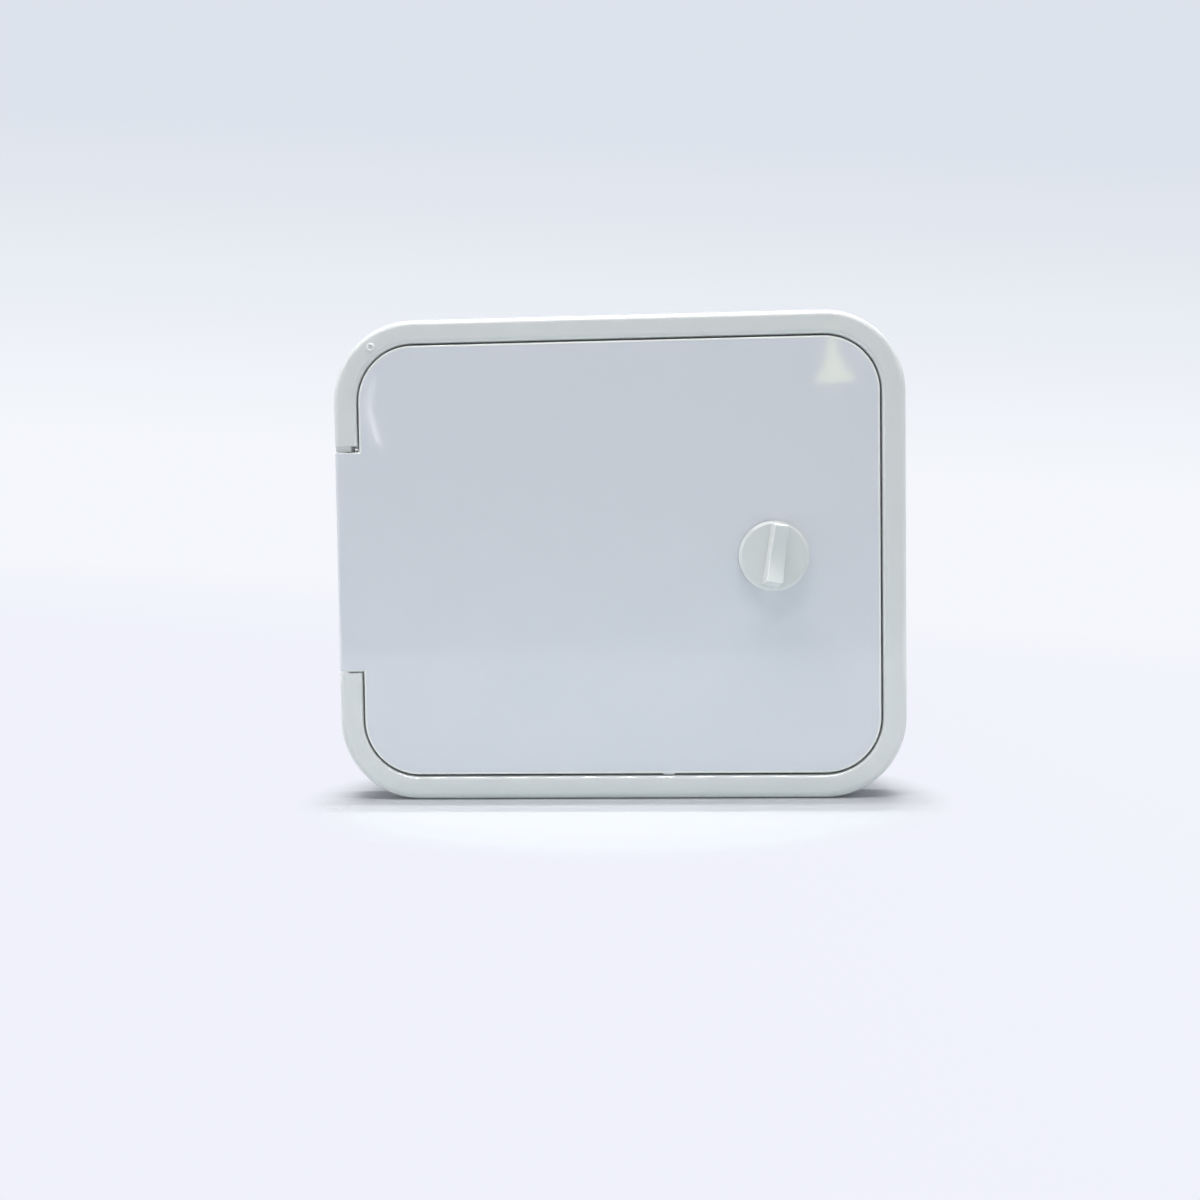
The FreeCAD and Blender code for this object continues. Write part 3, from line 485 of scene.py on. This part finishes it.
seal_low, seal_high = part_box("door_seal")
STRIP = 5.0 * MM
SEAL_CORNER = 17.7 * MM
seal = node_shape("seal_strip", seal_strip, width=seal_high.x - seal_low.x - STRIP,
                  height=seal_high.z - seal_low.z - STRIP, corner=SEAL_CORNER, strip=STRIP,
                  rise=seal_high.y - seal_low.y, finish=seal_rubber)
seal.data.transform(Matrix.Translation((0, seal_high.y, 0)))
fit_piece(seal, seal_rubber, "surround")
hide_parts("door_seal")
depths = [corner[1] / MM for corner in seal.bound_box]
print("seal from y", round(min(depths), 2), "to", round(max(depths), 2), "mm; its solid from",
      round(seal_low.y / MM, 2), "to", round(seal_high.y / MM, 2))

# %% [markdown]
# The face of the door ends in a small rounded edge, which catches a thin line of light all the way round. The
# solid has a plain bevel there. A thin round swept along the outline of the face fills that bevel out, and two
# short turned rounds do the same for the ends of the hinge tab.

# %% Rolled edge of the door
ROLL = 0.7
ROLL_OUT = 0.4
ROLL_Y = -14.49 + ROLL
DOOR_WIDTH = 197.1
DOOR_HEIGHT = 164.2
DOOR_CORNER = 20.8
TAB_END = 42.25
TAB_TIP = -106.8
TAB_ROOT = -98.0


def rolled_edge(tree, given):
    """Sweep a small circle along a rounded rectangle that stands upright."""
    path = add(tree, "GeometryNodeCurvePrimitiveQuadrilateral", {"Width": given["width"],
                                                                 "Height": given["height"]})
    path = add(tree, "GeometryNodeFilletCurve", {"Curve": path.outputs[0], "Radius": given["corner"],
                                                 "Count": 20}, mode="POLY")
    ring = add(tree, "GeometryNodeCurvePrimitiveCircle", {"Resolution": 24, "Radius": given["roll"]})
    tube = add(tree, "GeometryNodeCurveToMesh", {"Curve": path.outputs[0], "Profile Curve": ring.outputs[0]})
    upright = add(tree, "GeometryNodeTransform", {"Geometry": tube.outputs[0], "Rotation": (math.pi / 2, 0, 0)})
    return upright.outputs[0]


inset = 2 * (ROLL - ROLL_OUT)
# The round and the two tab ends take the paler ABS: a painted highlight, on top of the light that the round
# itself catches.
edge = node_shape("door_edge_roll", rolled_edge, width=(DOOR_WIDTH - inset) * MM,
                  height=(DOOR_HEIGHT - inset) * MM, corner=(DOOR_CORNER - inset / 2) * MM, roll=ROLL * MM,
                  finish=painted_highlight_abs)
edge.data.transform(Matrix.Translation((0, ROLL_Y * MM, 0)))
fit_piece(edge, painted_highlight_abs, "door", crisp=60)
for name, tab_z in (("upper", TAB_END - ROLL), ("lower", ROLL - TAB_END)):
    end = turned([(0, TAB_TIP), (ROLL, TAB_TIP), (ROLL, TAB_ROOT), (0, TAB_ROOT)], 24)
    bmesh.ops.rotate(end, verts=end.verts, matrix=Matrix.Rotation(-math.pi / 2, 3, "Z"))
    bmesh.ops.translate(end, verts=end.verts, vec=Vector((0, ROLL_Y, tab_z)) * MM)
    fit_piece(new_object(f"tab_roll_{name}", end), painted_highlight_abs, "door", crisp=60)

# %% [markdown]
# Behind the door, where nobody looks, the pins that pushed the moulding out of its tool have left their round
# marks. They stand in a regular grid, so one small disc is made once and set out on the points of a grid.

# %% Ejector marks
def ejector_marks(tree, given):
    """Small flat discs on a grid, facing backwards."""
    grid = add(tree, "GeometryNodeMeshGrid", {"Size X": given["across"], "Size Y": given["down"],
                                              "Vertices X": given["columns"], "Vertices Y": given["rows"]})
    mark = add(tree, "GeometryNodeMeshCone", {"Vertices": 24, "Radius Bottom": given["radius"],
                                              "Radius Top": given["top_radius"], "Depth": given["rise"]})
    set_out = add(tree, "GeometryNodeInstanceOnPoints", {"Points": grid.outputs["Mesh"],
                                                         "Instance": mark.outputs["Mesh"]})
    upright = add(tree, "GeometryNodeTransform", {"Geometry": set_out.outputs[0],
                                                  "Rotation": (-math.pi / 2, 0, 0)})
    return upright.outputs[0]


DOOR_BACK = -12.0 * MM
marks = node_shape("ejector_marks", ejector_marks, across=138 * MM, down=122 * MM, columns=4, rows=4,
                   radius=2.0 * MM, top_radius=1.9 * MM, rise=0.15 * MM, finish=door_abs)
marks.data.transform(Matrix.Translation((0, DOOR_BACK - 0.02 * MM, 0)))
fit_piece(marks, door_abs, "door")

# %% [markdown]
# The floor and the backdrop are one sheet of white paper that curves up behind the hatch, as in a product
# photograph. It stops a little way in front, so the gloss of the door shows the edge of the bright paper. Close
# round the hatch, in an oval, it is plain matt paper that takes the shadow; further out the camera sees an even
# pale tint, as the paper in the photograph has, and no lamp has to be made stronger for that.

# %% Floor and backdrop
PAPER_FRONT = -0.65
PAPER_BACK = 0.75
PAPER_BEND = 0.45
PAPER_TOP = 1.5
PAPER_HALF = 1.2
NEAR_X = 0.095
NEAR_Y = 0.06
NEAR_MIDDLE = -0.01
PALE_LEVEL = -0.03
GREY_FROM = 0.12
GREY_TO = 0.52
BEND_STEPS = 24
floor_level = solid_low.z


def paper_sheet():
    """The outline of the paper from front to top, swept from side to side."""
    outline = [(PAPER_FRONT, floor_level), (PAPER_BACK - PAPER_BEND, floor_level)]
    for step in range(1, BEND_STEPS + 1):
        turn = math.pi / 2 * step / BEND_STEPS
        outline.append((PAPER_BACK - PAPER_BEND + PAPER_BEND * math.sin(turn),
                        floor_level + PAPER_BEND * (1 - math.cos(turn))))
    outline.append((PAPER_BACK, PAPER_TOP))
    points = [(side * PAPER_HALF, y, z) for y, z in outline for side in (-1, 1)]
    faces = [(2 * i, 2 * i + 1, 2 * i + 3, 2 * i + 2) for i in range(len(outline) - 1)]
    mesh = bpy.data.meshes.new("paper")
    mesh.from_pydata(points, [], faces)
    for face in mesh.polygons:
        face.use_smooth = True
    return bpy.data.objects.new("paper", mesh)


paper = paper_sheet()
bpy.context.scene.collection.objects.link(paper)
material, tree = new_finish("white_paper")
matt = add(tree, "ShaderNodeBsdfDiffuse", {"Color": linear("#C5C7CB")})
place = add(tree, "ShaderNodeTexCoord").outputs["Object"]
level = add(tree, "ShaderNodeVectorMath", {0: place, 1: (0.08, 0, 1)}, operation="DOT_PRODUCT")
rise = add(tree, "ShaderNodeMapRange", {"Value": level.outputs["Value"], "From Min": floor_level,
                                        "From Max": PALE_LEVEL})
# Higher up, the emitted tint of the backdrop greys: painted shade, darker towards the top where the light of the
# tent falls off.
high = add(tree, "ShaderNodeMapRange", {"Value": level.outputs["Value"], "From Min": GREY_FROM,
                                        "From Max": GREY_TO})
tint = add(tree, "ShaderNodeMix", {0: rise.outputs["Result"], 6: linear("#F0F1FB"), 7: linear("#F5F7FC")},
           data_type="RGBA")
tint = add(tree, "ShaderNodeMix", {0: high.outputs["Result"], 6: tint.outputs[2], 7: linear("#DDE3EC")},
           data_type="RGBA")
even = add(tree, "ShaderNodeEmission", {"Color": tint.outputs[2]})
path = add(tree, "ShaderNodeLightPath")
seen = add(tree, "ShaderNodeMath", {0: path.outputs["Is Camera Ray"], 1: path.outputs["Is Glossy Ray"]},
           operation="ADD")
seen = add(tree, "ShaderNodeMath", {0: seen.outputs[0], 1: path.outputs["Is Transmission Ray"]},
           operation="ADD")
oval = add(tree, "ShaderNodeMapping", {"Vector": place, "Location": (0, -NEAR_MIDDLE / NEAR_Y, 0),
                                       "Scale": (1 / NEAR_X, 1 / NEAR_Y, 0)})
away = add(tree, "ShaderNodeVectorMath", {0: oval.outputs["Vector"]}, operation="LENGTH")
beyond = add(tree, "ShaderNodeMapRange", {"Value": away.outputs["Value"], "From Min": 1.0,
                                          "From Max": 1.35}, interpolation_type="SMOOTHSTEP")
share = add(tree, "ShaderNodeMath", {0: seen.outputs[0], 1: beyond.outputs["Result"]}, operation="MULTIPLY")
mixed = add(tree, "ShaderNodeMixShader", {0: share.outputs[0], 1: matt.outputs["BSDF"],
                                          2: even.outputs["Emission"]})
add(tree, "ShaderNodeOutputMaterial", {"Surface": mixed.outputs["Shader"]})
paper.data.materials.append(material)
print("paper from", PAPER_FRONT, "to", PAPER_BACK, "m")

# %% [markdown]
# The hatch stands in a light tent. Rows of small lamps cross its roof. Two of them hang just behind the face:
# they light the upper edges and throw a shadow with two steps on the floor. One hangs in front, and the lower
# lip of the surround mirrors it as a row of dashes. Those mirrored lamps are a second, longer set that only the
# gloss sees, because a tiny lamp in so small a rounding would be lost between the samples of the render. The
# side walls of the tent glow, a card on the floor lifts the lower edge, and the world stands for the room.
#
# The last lamps are tiny and only there to be mirrored in the gloss of the door, as the photograph shows: a
# pale bell in the upper right and a thin bent streak in the upper left.

# %% Light
world = bpy.data.worlds.new("studio")
bpy.context.scene.world = world
world.use_nodes = True
tree = world.node_tree
tree.nodes.clear()
room = add(tree, "ShaderNodeBackground", {"Color": linear("#E9EDF5"), "Strength": 0.315})
add(tree, "ShaderNodeOutputWorld", {"Surface": room.outputs["Background"]})


def soft_light(name, at, towards, width, height, watts, colour="#FFFFFF", turn=0.0):
    """A rectangular lamp at a place, facing another place."""
    lamp = bpy.data.lights.new(name, "AREA")
    lamp.shape = "RECTANGLE"
    lamp.size = width
    lamp.size_y = height
    lamp.energy = watts
    lamp.color = linear(colour)[:3]
    item = bpy.data.objects.new(name, lamp)
    aim = Vector(towards) - Vector(at)
    item.matrix_world = (Matrix.Translation(at) @ aim.to_track_quat("-Z", "Y").to_matrix().to_4x4()
                         @ Matrix.Rotation(turn, 4, "Z"))
    bpy.context.scene.collection.objects.link(item)
    return item


ROW_HEIGHT = 0.61
LED_WIDTH = 0.012


def led_row(y, middle, pitch, each_side, watts, depth):
    """A row of small lamps across the roof of the tent, all facing down."""
    places = [Vector((middle + step * pitch, y, ROW_HEIGHT)) for step in range(-each_side, each_side + 1)]
    return [soft_light("led", at, at - Vector((0, 0, 1)), LED_WIDTH, depth, watts) for at in places]


for row_y in (0.036, 0.008):
    led_row(row_y, -0.0078, 0.0436, 5, 0.182, 0.008)
FRONT_ROW = (-0.17, -0.0080, 0.0443, 6)
for lamp in led_row(*FRONT_ROW, 0.183, 0.008):
    lamp.visible_glossy = False
for lamp in led_row(*FRONT_ROW, 0.45, 0.250):
    lamp.visible_diffuse = False
for wall_x, watts in ((-0.5, 0.77), (0.5, 0.57)):
    soft_light("tent_wall", (wall_x, -0.12, 0.12), (0.0, -0.12, 0.12), 0.5, 0.45, watts)
card = soft_light("bounce_card", (0.0, -0.27, -0.082), (0.0, 0.0, -0.06), 0.5, 0.04, 0.13, "#C0F2F0")
card.visible_glossy = False

MIRROR_Y = -0.60
BELL = ((0.2087, 0.1893, 0.0355, 0.0114, 0.0044), (0.2068, 0.2018, 0.0195, 0.0125, 0.0027),
        (0.2052, 0.2230, 0.0100, 0.0300, 0.0033))
STREAK = ((-0.2685, 0.1855, 0.0040, 0.0283, 0.0014, -0.185), (-0.2659, 0.1510, 0.0028, 0.0425, 0.0034, 0.245))
for x, z, width, height, watts in BELL:
    soft_light("mirrored_bell", (x, MIRROR_Y, z), (0.10, -0.0145, 0.06), width, height, watts, "#FFFCA0")
for x, z, width, height, watts, turn in STREAK:
    soft_light("mirrored_streak", (x, MIRROR_Y, z), (-0.08, -0.0145, 0.06), width, height, watts, turn=turn)
print("lamps:", len(bpy.data.lights))

# %% [markdown]
# The photograph is square, and its view fits a wide lens that stood close by, a hand's breadth above the floor.
# The camera stands where the gap lines round the door fall within about a pixel of those in the photograph.

# %% Camera
camera = bpy.data.cameras.new("camera")
camera.lens = 27.0
camera.sensor_width = 36.0
viewer = bpy.data.objects.new("camera", camera)
bpy.context.scene.collection.objects.link(viewer)
CAMERA_AT = Vector((0.008, -0.3575, -0.005))
YAW = math.radians(2.515)
PITCH = math.radians(-1.786)
CAMERA_ROLL = math.radians(-0.82)
viewer.matrix_world = (Matrix.Translation(CAMERA_AT) @ Matrix.Rotation(YAW, 4, "Z")
                       @ Matrix.Rotation(math.pi / 2 + PITCH, 4, "X") @ Matrix.Rotation(CAMERA_ROLL, 4, "Z"))
bpy.context.scene.camera = viewer
bpy.context.scene.view_settings.view_transform = "Standard"
print("camera at", [round(v, 4) for v in CAMERA_AT])
